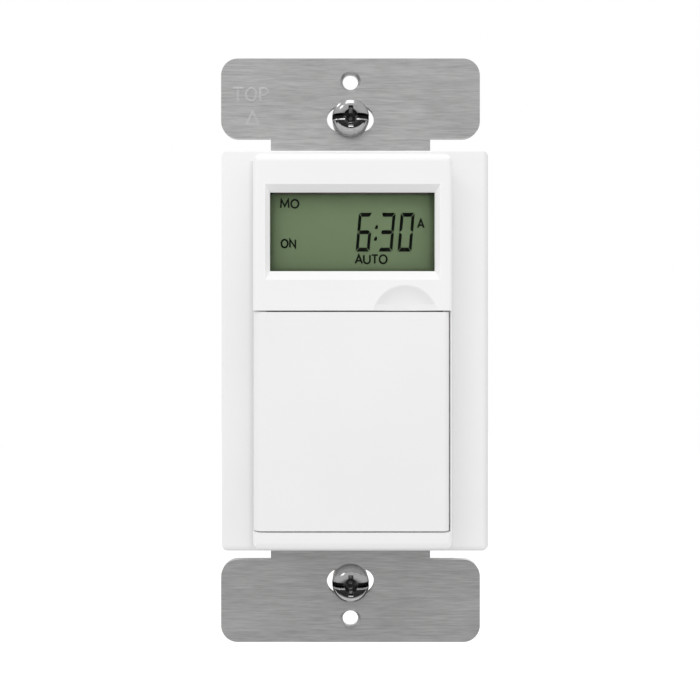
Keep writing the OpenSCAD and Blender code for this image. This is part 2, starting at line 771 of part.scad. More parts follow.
// A domed head with a slot and a cross, and a thread that starts behind the washer.
module box_screw(side) {
    dome_h = head_h - head_rim_h;
    dome_r = (head_d * head_d / 4 + dome_h * dome_h) / (2 * dome_h);
    thread_start = -washer_t - neck_relief;
    color("lightgray") upright() translate([0, side * box_screw_pitch / 2, 0]) {
        difference() {
            intersection() {
                translate([0, 0, strap_t]) cylinder(h = head_h, r = head_d / 2);
                translate([0, 0, strap_t + head_h - dome_r]) sphere(dome_r, $fn = 96);
            }
            translate([-head_d, -recess_w / 2, strap_t + head_h - recess_depth])
                cube([2 * head_d, recess_w, head_h]);
            translate([-recess_w / 2, -cross_span / 2, strap_t + head_h - recess_depth])
                cube([recess_w, cross_span, head_h]);
        }
        translate([0, 0, thread_start - sunk])
            cylinder(h = strap_t - thread_start + 2 * sunk, r = screw_neck_d / 2);
        translate([0, 0, -screw_reach]) cylinder(h = screw_reach + thread_start, r = thread_d / 2);
    }
}

module upper_box_screw() {
    box_screw(1);
}

module lower_box_screw() {
    box_screw(-1);
}

module screw_washers() {
    color("peru") upright() for (side = [-1, 1])
        translate([0, side * box_screw_pitch / 2, -washer_t]) difference() {
            cylinder(h = washer_t, r = washer_d / 2);
            translate([0, 0, -over])
                cylinder(h = washer_t + 2 * over, r = screw_neck_d / 2 + washer_fit);
        }
}

module display_window() {
    color("aliceblue", 0.4) upright() translate([0, window_y]) rise(window_back, under_face)
        square([window_w + 2 * window_lap, window_h + 2 * window_lap], center = true);
}

module lcd_front_glass() {
    color("darkseagreen", 0.6) upright() translate([0, window_y]) rise(glass_middle, glass_front)
        square([glass_w, front_glass_h], center = true);
}

module lcd_back_glass() {
    color("darkseagreen") upright() translate([0, window_y]) rise(glass_back, glass_middle)
        square([glass_w, back_glass_h], center = true);
}

module lcd_reflector() {
    color("olivedrab") upright() translate([0, window_y]) rise(reflector_back, glass_back)
        square([glass_w, back_glass_h], center = true);
}

// An open frame that stands on the control board and carries the glass on a shelf.
module lcd_holder() {
    color("dimgray") upright() translate([0, window_y]) difference() {
        rise(board_front, glass_front)
            square([holder_inner_w + 2 * holder_wall, holder_h], center = true);
        rise(reflector_back, glass_front + over)
            square([holder_inner_w, holder_inner_h], center = true);
        rise(board_front - over, reflector_back + over)
            square([holder_inner_w - 2 * shelf_w, holder_inner_h], center = true);
    }
}

// Soft conducting strips between the board and the two ledges of the front glass.
module contact_strips() {
    color("lightpink") upright() for (side = [-1, 1])
        translate([0, window_y + side * (back_glass_h + contact_ledge) / 2])
            rise(board_front, glass_middle)
                square([
                    glass_w - 2 * (shelf_w + strip_end_room),
                    contact_ledge - 2 * strip_side_room
                ], center = true);
}

module control_board() {
    color("darkgreen") upright() difference() {
        rise(board_back, board_front)
            square([control_board_w, control_board_h], center = true);
        for (x = [-1, 1], y = post_rows)
            translate([x * post_x, y, board_back - over])
                cylinder(h = control_board_t + 2 * over, r = board_screw_r + board_hole_clear);
    }
}

module board_screw(under_head, length) {
    translate([0, 0, under_head - board_screw_head_h])
        cylinder(h = board_screw_head_h, r = board_screw_head_r);
    translate([0, 0, under_head]) cylinder(h = length, r = board_screw_r);
}

module board_screws() {
    color("dimgray") upright() for (x = [-1, 1], y = post_rows)
        translate([x * post_x, y, 0]) board_screw(board_back, control_board_t + board_screw_bite);
}

// A flat chip with leads on all four sides.
module control_chip() {
    low = board_back - chip_standoff - chip_t;
    color("black") upright() translate(chip_at) {
        rise(low, low + chip_t) square(chip_w, center = true);
        for (turn = [0:90:270], i = [-4:4])
            rotate([0, 0, turn])
                translate([
                    chip_w / 2 - sunk,
                    i * chip_lead_pitch - chip_lead_w / 2,
                    board_back - chip_lead_t
                ])
                    cube([chip_lead_reach, chip_lead_w, chip_lead_t]);
    }
}

module clock_crystal() {
    axis = board_back - crystal_r - sunk;
    color("silver") upright() translate(crystal_at) {
        translate([0, -crystal_len / 2, axis])
            rotate([-90, 0, 0]) cylinder(h = crystal_len, r = crystal_r);
        for (side = [-1, 1])
            translate([side * crystal_wire_x, -crystal_len / 2 - crystal_wire_len, axis])
                rotate([-90, 0, 0]) cylinder(h = crystal_wire_len + sunk, r = crystal_wire_r);
    }
}

module backup_cell() {
    color("silver") upright() translate([cell_at.x, cell_at.y, board_back - cell_h]) {
        cylinder(h = cell_h - cell_step, r = cell_r);
        translate([0, 0, cell_h - cell_step - sunk])
            cylinder(h = cell_step + sunk, r = cell_r - cell_lip);
    }
}

// A bent strip that presses the cell to the board.
module cell_clip() {
    side_x = cell_r + cell_clear;
    low = board_back - cell_h - clip_t;
    color("lightgray") upright() translate(cell_at) {
        translate([-side_x, -clip_w / 2, low]) cube([2 * side_x, clip_w, clip_t]);
        for (side = [0, 1])
            mirror([side, 0, 0]) {
                translate([side_x - hair, -clip_w / 2, low])
                    cube([clip_t, clip_w, board_back - low]);
                translate([side_x, -clip_w / 2, board_back - clip_t])
                    cube([clip_foot, clip_w, clip_t]);
            }
    }
}

// Eight like switches on the control board, each with a round well for its plunger.
module push_switches() {
    color("dimgray") upright() for (spot = ALL_KEYS)
        translate([spot.x, spot.y, board_front]) difference() {
            translate([-tact_w / 2, -tact_w / 2, 0]) cube([tact_w, tact_w, tact_h]);
            translate([0, 0, tact_h - plunger_sunk - key_travel - sunk])
                cylinder(h = plunger_sunk + key_travel + over, r = plunger_r + plunger_clear);
        }
}

module board_header() {
    color("black") upright() translate(header_at) rise(power_board_front, board_back)
        square([header_w, header_h], center = true);
}

module power_board() {
    color("peru") upright() difference() {
        rise(power_board_back, power_board_front)
            square([power_board_w, power_board_h], center = true);
        at_corners(power_post_x, power_post_y)
            translate([0, 0, power_board_back - over])
                cylinder(h = power_board_t + 2 * over, r = board_screw_r + board_hole_clear);
    }
}

module power_board_screws() {
    color("dimgray") upright() at_corners(power_post_x, power_post_y)
        translate([0, 0, power_board_front])
            mirror([0, 0, 1]) board_screw(0, power_board_t + power_screw_bite);
}

// A block on the power board, centred on its place.
module standing_block(spot, size) {
    translate([spot.x - size.x / 2, spot.y - size.y / 2, power_board_back - size.z])
        cube(size);
}

module relay() {
    color("royalblue") upright() {
        standing_block(relay_at, relay_size - [0, 0, relay_lid]);
        standing_block(relay_at, relay_size - [2 * relay_lid_inset, 2 * relay_lid_inset, 0]);
    }
}

module film_capacitor() {
    color("firebrick") upright() standing_block(film_capacitor_at, film_capacitor_size);
}

module smoothing_capacitor() {
    color("midnightblue") upright() translate(smoothing_capacitor_at)
        rise(power_board_back - smoothing_capacitor_h, power_board_back) circle(smoothing_capacitor_r);
}

// A disc on edge, with its two wires to the board.
module varistor() {
    middle = power_board_back - varistor_rise;
    color("steelblue") upright() translate([varistor_at.x, varistor_at.y, middle]) {
        rotate([0, 90, 0]) cylinder(h = varistor_t, r = varistor_r, center = true);
        for (side = [-1, 1])
            translate([0, side * varistor_wire_y, 0]) cylinder(h = varistor_rise, r = wire_r);
    }
}

module fuse() {
    color("saddlebrown") upright() translate(fuse_at)
        rise(power_board_back - fuse_h, power_board_back) circle(fuse_r);
}

module rectifier_diodes() {
    axis = power_board_back - diode_r - sunk;
    color("black") upright() for (i = [-1.5:1:1.5])
        translate([diode_row.x + i * diode_pitch, diode_row.y - diode_len / 2, axis])
            rotate([-90, 0, 0]) cylinder(h = diode_len, r = diode_r);
}

// A lying body on a bent wire that stands on the board at both ends.
module series_resistor() {
    span = resistor_len + 2 * resistor_wire_out;
    middle = power_board_back - resistor_rise;
    color("darkcyan") upright() translate([resistor_at.x, resistor_at.y, middle]) {
        translate([0, -resistor_len / 2, 0])
            rotate([-90, 0, 0]) cylinder(h = resistor_len, r = resistor_r);
        translate([0, -span / 2, 0]) rotate([-90, 0, 0]) cylinder(h = span, r = wire_r);
        for (side = [-1, 1])
            translate([0, side * span / 2, -wire_r])
                cylinder(h = resistor_rise + wire_r, r = wire_r);
    }
}

module lead_terminals() {
    color("gold") upright() for (i = [-1.5:1:1.5])
        standing_block([i * lead_pitch, terminal_y], terminal_size);
}

// The moulded door, its hinge barrel and pins in one piece, with a snap lug at the free edge.
module door() {
    leaf_w = door_right - hinge_x;
    color("white") upright() {
        translate([0, door_top, 0]) rotate([90, 0, 0]) linear_extrude(door_h) union() {
            translate([hinge_x, hinge_z]) circle(barrel_r);
            translate([hinge_x, door_back]) square([leaf_w - door_edge_r, door_t]);
            translate([hinge_x, door_back]) square([leaf_w, door_t - door_edge_r]);
            intersection() {
                translate([door_right - door_edge_r, face - door_edge_r]) circle(door_edge_r);
                translate([hinge_x, door_back]) square([leaf_w, door_t]);
            }
        }
        for (y = [door_bottom - pin_len, door_top - sunk])
            translate([hinge_x, y, hinge_z])
                rotate([-90, 0, 0]) cylinder(h = pin_len + sunk, r = pin_r);
        translate([lug_x, lug_y - lug_h / 2, door_back - lug_len])
            cube([lug_t, lug_h, lug_len + sunk]);
    }
}

// A key: its cap in the plate's hole, a wider skirt behind the plate, and a stem.
module key(spot, w) {
    color("whitesmoke") upright() translate(spot) {
        rise(skirt_top - sunk, keypad_floor + key_proud) rounded(w, key_h, key_r);
        rise(skirt_top - skirt_t, skirt_top)
            rounded(w + 2 * skirt_margin, key_h + 2 * skirt_margin, key_r + skirt_margin);
        rise(plunger_top, skirt_top - skirt_t + sunk) circle(stem_r);
    }
}

module program_key() {
    key(PROGRAM, key_w);
}

module day_key() {
    key(DAY, key_w);
}

module clock_key() {
    key(CLOCK, key_w);
}

module hour_key() {
    key(HOUR, key_w);
}

module random_key() {
    key(RANDOM, key_w);
}

module minute_key() {
    key(MINUTE, key_w);
}

module mode_key() {
    key(MODE, mode_key_w);
}

// The reset key ends just below the plate, so that only a pointed tool presses it.
module reset_key() {
    color("dimgray") upright() translate(RESET) {
        rise(skirt_top - sunk, keypad_floor - reset_sunk) circle(reset_r);
        rise(skirt_top - skirt_t, skirt_top) circle(reset_r + skirt_margin);
        rise(plunger_top, skirt_top - skirt_t + sunk) circle(stem_r);
    }
}

module plunger(spot) {
    color("black") upright() translate(spot)
        rise(tact_top - plunger_sunk, plunger_top) circle(plunger_r);
}

module program_plunger() {
    plunger(PROGRAM);
}

module day_plunger() {
    plunger(DAY);
}

module clock_plunger() {
    plunger(CLOCK);
}

module hour_plunger() {
    plunger(HOUR);
}

module random_plunger() {
    plunger(RANDOM);
}

module minute_plunger() {
    plunger(MINUTE);
}

module mode_plunger() {
    plunger(MODE);
}

module reset_plunger() {
    plunger(RESET);
}

mounting_strap();
front_housing();
rear_housing();
case_screws();
upper_box_screw();
lower_box_screw();
screw_washers();
ground_lug();
display_window();
lcd_front_glass();
lcd_back_glass();
lcd_reflector();
lcd_holder();
contact_strips();
control_board();
board_screws();
control_chip();
clock_crystal();
backup_cell();
cell_clip();
push_switches();
board_header();
power_board();
power_board_screws();
relay();
film_capacitor();
smoothing_capacitor();
varistor();
fuse();
rectifier_diodes();
series_resistor();
lead_terminals();
door();
program_key();
day_key();
clock_key();
hour_key();
random_key();
minute_key();
mode_key();
reset_key();
program_plunger();
day_plunger();
clock_plunger();
hour_plunger();
random_plunger();
minute_plunger();
mode_plunger();
reset_plunger();
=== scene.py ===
import math

import bpy
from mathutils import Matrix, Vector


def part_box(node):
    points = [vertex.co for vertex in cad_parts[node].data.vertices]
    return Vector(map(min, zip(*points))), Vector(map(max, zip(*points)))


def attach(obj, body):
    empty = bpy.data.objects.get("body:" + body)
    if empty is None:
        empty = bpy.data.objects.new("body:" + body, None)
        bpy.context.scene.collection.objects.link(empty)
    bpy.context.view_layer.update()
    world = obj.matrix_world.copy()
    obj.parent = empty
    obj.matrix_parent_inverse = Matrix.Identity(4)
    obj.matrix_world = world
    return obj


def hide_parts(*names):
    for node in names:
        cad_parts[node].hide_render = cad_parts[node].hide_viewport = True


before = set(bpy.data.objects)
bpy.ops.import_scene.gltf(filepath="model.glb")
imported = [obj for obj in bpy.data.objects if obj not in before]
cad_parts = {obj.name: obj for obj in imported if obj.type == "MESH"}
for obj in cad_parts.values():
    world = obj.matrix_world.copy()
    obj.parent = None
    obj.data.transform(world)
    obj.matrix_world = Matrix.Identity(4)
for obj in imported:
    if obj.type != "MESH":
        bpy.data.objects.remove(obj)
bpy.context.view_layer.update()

MM = 0.001


# The stand for the picture: a camera on a level with the readout, close in front of the
# switch, a white surround, a pale floor well below it and four soft lamps. The surround is
# white where it is seen, also in metal and glass, and dark below the photographer.
bpy.context.scene.view_settings.view_transform = "Standard"
camera = bpy.data.objects.new("camera", bpy.data.cameras.new("camera"))
bpy.context.scene.collection.objects.link(camera)
bpy.context.scene.camera = camera
camera.location = (-4.5 * MM, -141.2 * MM, 3.2 * MM)
camera.rotation_euler = (math.radians(90), 0, 0)
camera.data.sensor_width = 36
camera.data.lens = 39.98
camera.data.shift_x = 0.035
camera.data.shift_y = -0.025
camera.data.clip_start = 5 * MM
camera.data.clip_end = 20


class Value:
    """One socket of a finish. Sums, products and the like on it add the nodes that work them out."""

    def __init__(self, finish, socket):
        self.finish = finish
        self.socket = socket

    def math(self, operation, *others):
        return self.finish.node("Math", {"operation": operation}, dict(enumerate([self, *others])))

    def __add__(self, other):
        return self.math("ADD", other)

    def __radd__(self, other):
        return self.math("ADD", other)

    def __mul__(self, other):
        return self.math("MULTIPLY", other)

    def __rmul__(self, other):
        return self.math("MULTIPLY", other)

    def __sub__(self, other):
        return self.math("SUBTRACT", other)

    def __rsub__(self, other):
        return self.finish.node("Math", {"operation": "SUBTRACT"}, {0: other, 1: self})

    def __truediv__(self, other):
        return self.math("DIVIDE", other)

    def __gt__(self, other):
        return self.math("GREATER_THAN", other)

    def __lt__(self, other):
        return self.math("LESS_THAN", other)

    def __abs__(self):
        return self.math("ABSOLUTE")

    def ramp(self, low, high):
        """0 below low, 1 above high, and smooth between them."""
        settings = {"interpolation_type": "SMOOTHSTEP"}
        return self.finish.node("MapRange", settings, {0: self, 1: low, 2: high})


class Finish:
    """The nodes of one finish. Its shader's sockets are set by name."""

    def __init__(self, owner, shader="BsdfPrincipled"):
        owner.use_nodes = True
        self.owner = owner
        self.tree = owner.node_tree
        self.tree.nodes.clear()
        self.shader = self.tree.nodes.new("ShaderNode" + shader)

    def connect(self, socket, value):
        if isinstance(value, Value):
            self.tree.links.new(value.socket, socket)
        else:
            socket.default_value = value

    def node(self, kind, settings=None, inputs=None, output=0):
        made = self.tree.nodes.new("ShaderNode" + kind)
        for name, value in (settings or {}).items():
            setattr(made, name, value)
        for name, value in (inputs or {}).items():
            self.connect(made.inputs[name], value)
        return Value(self, made.outputs[output])

    def place(self):
        """The point on the piece, in metres, as it was drawn."""
        return self.node("TexCoord", output="Object")

    def axes(self, point):
        split = self.node("SeparateXYZ", None, {0: point}).socket.node
        return [Value(self, socket) for socket in split.outputs]

    def stretch(self, point, x, y, z):
        return self.node("VectorMath", {"operation": "MULTIPLY"}, {0: point, 1: (x, y, z)})

    def noise(self, point, scale, detail=2.0, rough=0.5):
        inputs = {"Vector": point, "Scale": scale, "Detail": detail, "Roughness": rough}
        return self.node("TexNoise", None, inputs)

    def cells(self, point, scale):
        return self.node("TexVoronoi", None, {"Vector": point, "Scale": scale})

    def blend(self, share, low, high):
        """The colour low where share is 0, and high where it is 1."""
        low = low if isinstance(low, Value) else (*low, 1)
        high = high if isinstance(high, Value) else (*high, 1)
        return self.node("Mix", {"data_type": "RGBA"}, {0: share, 6: low, 7: high}, output=2)

    def relief(self, height, depth, strength=1.0):
        """A Normal from height, which is 0 to 1 over that depth in metres."""
        inputs = {"Height": height, "Distance": depth, "Strength": strength}
        return self.node("Bump", None, inputs)

    def shade(self, output="OutputMaterial", **sockets):
        """Sets the shader's sockets and joins it to the output."""
        for name, value in sockets.items():
            value = (*value, 1) if isinstance(value, tuple) and len(value) == 3 else value
            self.connect(self.shader.inputs[name.replace("_", " ")], value)
        end = self.tree.nodes.new("ShaderNode" + output)
        self.tree.links.new(self.shader.outputs[0], end.inputs[0])
        return self.owner


surround = bpy.data.worlds.new("surround")
bpy.context.scene.world = surround
air = Finish(surround, "Background")
seen = air.node("LightPath", output="Is Camera Ray")
through = air.node("LightPath", output="Is Transmission Ray")
mirrored = air.node("LightPath", output="Is Glossy Ray")
across, ahead, up = air.axes(air.node("TexCoord", output="Generated"))
behind = ahead.ramp(0.0, 0.3)
overhead = up.ramp(-0.45, 0.9)
table = 1 - up.ramp(-0.86, -0.62)
room = 0.03 + up.ramp(-0.22, 0.06) * 0.66 + table * 0.9
reflection = room * (1 - behind) + behind
tent = 0.56 + overhead * 0.2 + across * across * 0.18 + abs(ahead).ramp(0.1, 0.9) * 0.34
lit = tent * (1 - mirrored) + reflection * mirrored
white = seen.math("MAXIMUM", through)
level = lit * (1 - white) + white
air.shade("OutputWorld", Color=air.node("CombineColor", None, {0: level, 1: level, 2: level}),
          Strength=1.0)

bpy.ops.mesh.primitive_circle_add(vertices=96, radius=0.62, fill_type="NGON", location=(0, 0.58, -0.165))
floor = bpy.context.object
floor.name = "floor"
ground = Finish(bpy.data.materials.new("pale floor"))
grain = ground.noise(ground.place(), 900, 4)
shown = ground.node("LightPath", output="Is Camera Ray")
clear = ground.node("LightPath", output="Is Transmission Ray")
glow = shown.math("MAXIMUM", clear) * 0.32
ground.shade(Base_Color=ground.blend(grain, (0.78, 0.78, 0.78), (0.82, 0.82, 0.82)), Roughness=0.9,
             Emission_Color=ground.node("CombineColor", None, {0: glow, 1: glow, 2: glow}),
             Emission_Strength=1.0)
floor.data.materials.append(ground.owner)


def soft_lamp(name, place, width, height, power):
    """A rectangular lamp that is aimed at the middle of the switch."""
    lamp = bpy.data.lights.new(name, "AREA")
    lamp.shape = "RECTANGLE"
    lamp.size = width
    lamp.size_y = height
    lamp.energy = power
    holder = bpy.data.objects.new(name, lamp)
    bpy.context.scene.collection.objects.link(holder)
    holder.location = place
    holder.rotation_euler = holder.location.to_track_quat("Z", "Y").to_euler()


soft_lamp("top lamp", (-0.02, -0.3, 0.55), 0.3, 0.42, 0.72)
soft_lamp("window lamp", (-0.3, -0.46, 0.3), 0.16, 0.12, 0.2)
soft_lamp("side lamp", (-0.44, -0.04, 0.46), 0.2, 0.16, 0.2)
soft_lamp("rear lamp", (0.25, 0.55, 0.4), 0.4, 0.4, 0.5)


def dress(finish, *nodes):
    """Gives CAD nodes a finish, and rounds the shading of their curved faces."""
    for name in nodes:
        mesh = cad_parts[name].data
        mesh.materials.clear()
        mesh.materials.append(finish)
        mesh.shade_smooth()
        mesh.set_sharp_from_angle(angle=math.radians(28))


def soften(name, width):
    """Breaks the sharp moulded edges of a CAD node, which then catch the light."""
    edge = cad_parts[name].modifiers.new("edges", "BEVEL")
    edge.width = width
    edge.segments = 2
    edge.limit_method = "ANGLE"
    edge.angle_limit = math.radians(35)
    edge.harden_normals = True


def make(name, points, faces, finish, slot, smooth=True):
    """A new piece of the switch's main body, from points in millimetres."""
    mesh = bpy.data.meshes.new(name)
    mesh.from_pydata([(x * MM, y * MM, z * MM) for x, y, z in points], [], faces)
    mesh.validate()
    if smooth:
        mesh.shade_smooth()
    mesh.materials.append(finish)
    piece = bpy.data.objects.new(name, mesh)
    bpy.context.scene.collection.objects.link(piece)
    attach(piece, "switch")
    return piece


# The strap: 1.2 mm sheet steel, punched, bent flat and brushed along its width, which
# leaves long fine scratches. TOP and an arrow are pressed into the left of the upper ear;
# their strokes get a paler copy of the steel, as a painted highlight.
def brushed(name, deep, pale, rough):
    """Steel brushed along its width. Its sheen falls off from the top of the strap downwards."""
    steel = Finish(bpy.data.materials.new(name))
    spot = steel.place()
    scratch = steel.noise(steel.stretch(spot, 230, 3400, 3400), 1.0, 5, 0.62)
    streak = steel.noise(steel.stretch(spot, 110, 1300, 1300), 1.0, 4, 0.6)
    cloud = steel.noise(spot, 55, 2)
    tone = scratch * 0.55 + streak * 0.3 + cloud * 0.15
    rolled = steel.relief(scratch, 0.02 * MM, 0.5)
    level = steel.node("CombineXYZ", None, {0: 0.0, 1: 0.0, 2: 0.07 - steel.axes(spot)[2] * 2.8})
    facing = steel.node("VectorMath", {"operation": "ADD"}, {0: rolled, 1: level})
    steel.shade(
        Base_Color=steel.blend(tone.ramp(0.3, 0.7), deep, pale),
        Metallic=1.0,
        Roughness=rough + scratch * 0.16,
        Normal=steel.node("VectorMath", {"operation": "NORMALIZE"}, {0: facing}),
    )
    return steel.owner


strap_steel = brushed("brushed steel", (0.46, 0.46, 0.457), (0.7, 0.7, 0.696), 0.36)
# A paler copy of the strap steel, which paints a highlight on the stamped strokes.
stamp_steel_painted_light = brushed("pressed steel with painted light", (0.56, 0.56, 0.557), (0.74, 0.74, 0.736), 0.36)
dress(strap_steel, "mounting_strap")
soften("mounting_strap", 0.12 * MM)


def arc(x, z, width, height, start, end, steps=10):
    """Points on an oval round (x, z), from one angle to another in degrees."""
    turns = [math.radians(start + (end - start) * i / steps) for i in range(steps + 1)]
    return [(x + width * math.cos(t), z + height * math.sin(t)) for t in turns]


LETTERS = {
    "A": (0.66, [[(0, 0), (0.33, 1), (0.66, 0)], [(0.115, 0.33), (0.545, 0.33)]]),
    "C": (0.62, [arc(0.36, 0.5, 0.36, 0.5, 52, 308, 16)]),
    "D": (0.62, [[(0, 0), (0, 1), *arc(0.2, 0.5, 0.42, 0.5, 90, -90, 12), (0, 0)]]),
    "F": (0.48, [[(0.48, 1), (0, 1), (0, 0)], [(0, 0.5), (0.42, 0.5)]]),
    "G": (0.68, [[*arc(0.37, 0.5, 0.37, 0.5, 48, 330, 16), (0.69, 0.46), (0.42, 0.46)]]),
    "H": (0.6, [[(0, 0), (0, 1)], [(0.6, 0), (0.6, 1)], [(0, 0.52), (0.6, 0.52)]]),
    "I": (0.0, [[(0, 0), (0, 1)]]),
    "K": (0.56, [[(0, 0), (0, 1)], [(0.54, 1), (0.02, 0.45)], [(0.18, 0.6), (0.56, 0)]]),
    "L": (0.44, [[(0, 1), (0, 0), (0.44, 0)]]),
    "M": (0.78, [[(0, 0), (0.06, 1), (0.39, 0.2), (0.72, 1), (0.78, 0)]]),
    "N": (0.6, [[(0, 0), (0, 1), (0.6, 0), (0.6, 1)]]),
    "O": (0.72, [arc(0.36, 0.5, 0.36, 0.5, 90, 450, 24)]),
    "P": (0.52, [[(0, 0), (0, 1), *arc(0.26, 0.73, 0.26, 0.27, 90, -90, 8), (0, 0.46)]]),
    "R": (0.56, [[(0, 0), (0, 1), *arc(0.26, 0.74, 0.26, 0.26, 90, -90, 8), (0, 0.48)],
                 [(0.26, 0.48), (0.56, 0)]]),
    "T": (0.6, [[(0, 1), (0.6, 1)], [(0.3, 1), (0.3, 0)]]),
    "U": (0.6, [[(0, 1), *arc(0.3, 0.32, 0.3, 0.32, 180, 360, 10), (0.6, 1)]]),
    "Y": (0.6, [[(0, 1), (0.3, 0.48), (0.6, 1)], [(0.3, 0.48), (0.3, 0)]]),
    "/": (0.4, [[(0, -0.1), (0.4, 1.1)]]),
    "^": (0.9, [[(0, 0), (0.45, 0.8), (0.9, 0), (0, 0)]]),
}


def written(text, left, foot, height, width=1.0, gap=0.2):
    """The lines of a word, from its lower left corner, and the place where it ends."""
    lines, x = [], 0.0
    for letter in text:
        wide, strokes = LETTERS[letter]
        lines += [[(left + (x + a) * height * width, foot + b * height) for a, b in s] for s in strokes]
        x += wide + gap
    return lines, left + (x - gap) * height * width


def centred(text, middle, foot, height, width=1.0, gap=0.2):
    end = written(text, 0, 0, height, width, gap)[1]
    return written(text, middle - end / 2, foot, height, width, gap)[0]


def drawn(lines, thick, y, ridge=0.0):
    """Points and faces of lines of one thickness on the plane y. A ridge stands out of it."""
    points, faces = [], []
    for line in lines:
        closed = math.dist(line[0], line[-1]) < 1e-6
        line = line[:-1] if closed else line
        n = len(line)
        first = len(points)
        for i, (x, z) in enumerate(line):
            before = line[i - 1] if closed or i else None
            after = line[(i + 1) % n] if closed or i < n - 1 else None
            ways = []
            for a, b in ((before, (x, z)), ((x, z), after)):
                if a is not None and b is not None:
                    size = math.dist(a, b)
                    ways.append(((b[0] - a[0]) / size, (b[1] - a[1]) / size))
            way = (sum(w[0] for w in ways), sum(w[1] for w in ways))
            size = math.hypot(*way) or 1.0
            across = (-way[1] / size, way[0] / size)
            along = ways[0]
            lean = max(0.35, abs(across[0] * -along[1] + across[1] * along[0]))
            reach = thick / 2 / lean
            for side, rise in ((-1, 0.0), (0, ridge), (1, 0.0)):
                points.append((x + across[0] * reach * side, y - rise, z + across[1] * reach * side))
        for i in range(n if closed else n - 1):
            a, b = first + 3 * i, first + 3 * ((i + 1) % n)
            faces += [(a, b, b + 1, a + 1), (a + 1, b + 1, b + 2, a + 2)]
    return points, faces


stamp = (written("T", -21.2, 44.83, 2.3, 1.42)[0] + written("OP", -18.79, 44.83, 2.3, 1.13, 0.27)[0]
         + written("^", -18.85, 40.7, 2.68)[0])
make("top_stamp", *drawn(stamp, 0.5, -1.195, 0.04), stamp_steel_painted_light, "strap_steel")


# The front housing: one moulding in white plastic with a satin face, a fine even grain and
# softly broken edges. Painted shade greys it at the foot and the lower edge of the raised
# section, on two edges of the flange and in the scoop; painted light makes the bezel's sides paler.
RAISED_W, RAISED_H, FACE_Y, FLANGE_Y = 33.2, 66.6, -12.2, -4.6
FOOT_START, FOOT_END, FOOT_PAINTED_SHADOW = 0.3, 1.6, 0.2
FLANGE_RIGHT, FLANGE_LOW, EDGE_WIDE, EDGE_PAINTED_SHADE = 24.1, -35.2, 1.1, 0.17
UNDER_WIDE, UNDER_PAINTED_SHADE = 0.9, 0.14
SCOOP_R, SCOOP_IN, SCOOP_DROP, SCOOP_PAINTED_SHADE = 5.5, 7.4, 1.0, 0.1
WINDOW_W, WINDOW_H, SLOPE_SIDE, SLOPE_END, SLOPE_PAINTED_LIGHT = 27.6, 13.2, 0.8, 1.35, 0.65
OVER_SLOPE, OVER_SCOOP, PAST_BEZEL, SCOOP_LIP = 1.1, 1.05, 1.3, 0.2


def housing_painted_light(plastic, spot, tone):
    """The tone of the housing with painted shade in its greyer places and painted light in
    its paler ones. Lengths are in millimetres.
    """
    x, y, z = [value / MM for value in plastic.axes(spot)]
    away = (abs(x) - RAISED_W / 2).math("MAXIMUM", z * -1 - RAISED_H / 2)
    low = y.ramp(FLANGE_Y - FOOT_END, FLANGE_Y)
    # Painted shadow: the flange is darkened beside the foot of the raised section, on all sides but the
    # top.
    foot = (1 - away.ramp(FOOT_START, FOOT_END)) * low * (z < RAISED_H / 2)
    # Painted shade: the right and lower edges of the flange are darkened.
    edge = x.ramp(FLANGE_RIGHT - EDGE_WIDE, FLANGE_RIGHT)
    edge = edge.math("MAXIMUM", 1 - z.ramp(FLANGE_LOW, FLANGE_LOW + EDGE_WIDE))
    # Painted shade: the lower edge of the raised section is darkened.
    under_painted_shade = (1 - z.ramp(-RAISED_H / 2, -RAISED_H / 2 + UNDER_WIDE)) * (y < FLANGE_Y - FOOT_END)
    pane_low, pane_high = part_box("display_window")
    # Painted light: the left and right sloping sides of the bezel are made paler.
    out = (abs(x) - WINDOW_W / 2) / SLOPE_SIDE
    end = (abs(z - (pane_low.z + pane_high.z) / 2 / MM) - WINDOW_H / 2) / SLOPE_END
    slope_painted_light = (out > 0) * (out < OVER_SLOPE) * (out > end)
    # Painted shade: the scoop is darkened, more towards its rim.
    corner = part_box("door")[1] / MM
    aside, above = x - corner.x + SCOOP_IN, z - corner.z + SCOOP_DROP
    round_out = (aside * aside + above * above) / (SCOOP_R * SCOOP_R)
    beyond = (round_out < OVER_SCOOP) * (above > SCOOP_DROP) * (end > PAST_BEZEL)
    scoop_painted_shade = round_out.ramp(0.0, 1.0) * beyond * y.ramp(FACE_Y, FACE_Y + SCOOP_LIP)
    # Painted shade blends the tone towards near black, and painted light blends it towards white.
    grey = foot * FOOT_PAINTED_SHADOW + edge * EDGE_PAINTED_SHADE + under_painted_shade * UNDER_PAINTED_SHADE + scoop_painted_shade * SCOOP_PAINTED_SHADE
    tone = plastic.blend(grey, tone, (0.02, 0.02, 0.02))
    return plastic.blend(slope_painted_light * SLOPE_PAINTED_LIGHT, tone, (1.0, 1.0, 1.0))


def moulded(name, colour, roughness, grain=0.004, scale=7000, drift=0.012, painted_light=None):
    """Plastic as it leaves the mould: a fine grain and slow, faint changes of tone and gloss.
    Painted light and shade are added to the tone by the function given for them, if any.
    """
    plastic = Finish(bpy.data.materials.new(name))
    spot = plastic.place()
    fine = plastic.noise(spot, scale, 3, 0.6)
    slow = plastic.noise(spot, 45, 2)
    pale = tuple(min(1.0, c * (1 + drift)) for c in colour)
    deep = tuple(c * (1 - drift) for c in colour)
    tone = plastic.blend(slow.ramp(0.25, 0.75), deep, pale)
    plastic.shade(
        Base_Color=painted_light(plastic, spot, tone) if painted_light else tone,
        Roughness=roughness - 0.04 + slow * 0.05 + fine * 0.03,
        Normal=plastic.relief(fine, grain * MM, 0.6),
    )
    return plastic.owner


white_plastic = moulded("white moulded plastic", (0.86, 0.86, 0.86), 0.42, painted_light=housing_painted_light)
dress(white_plastic, "front_housing")
soften("front_housing", 0.1 * MM)


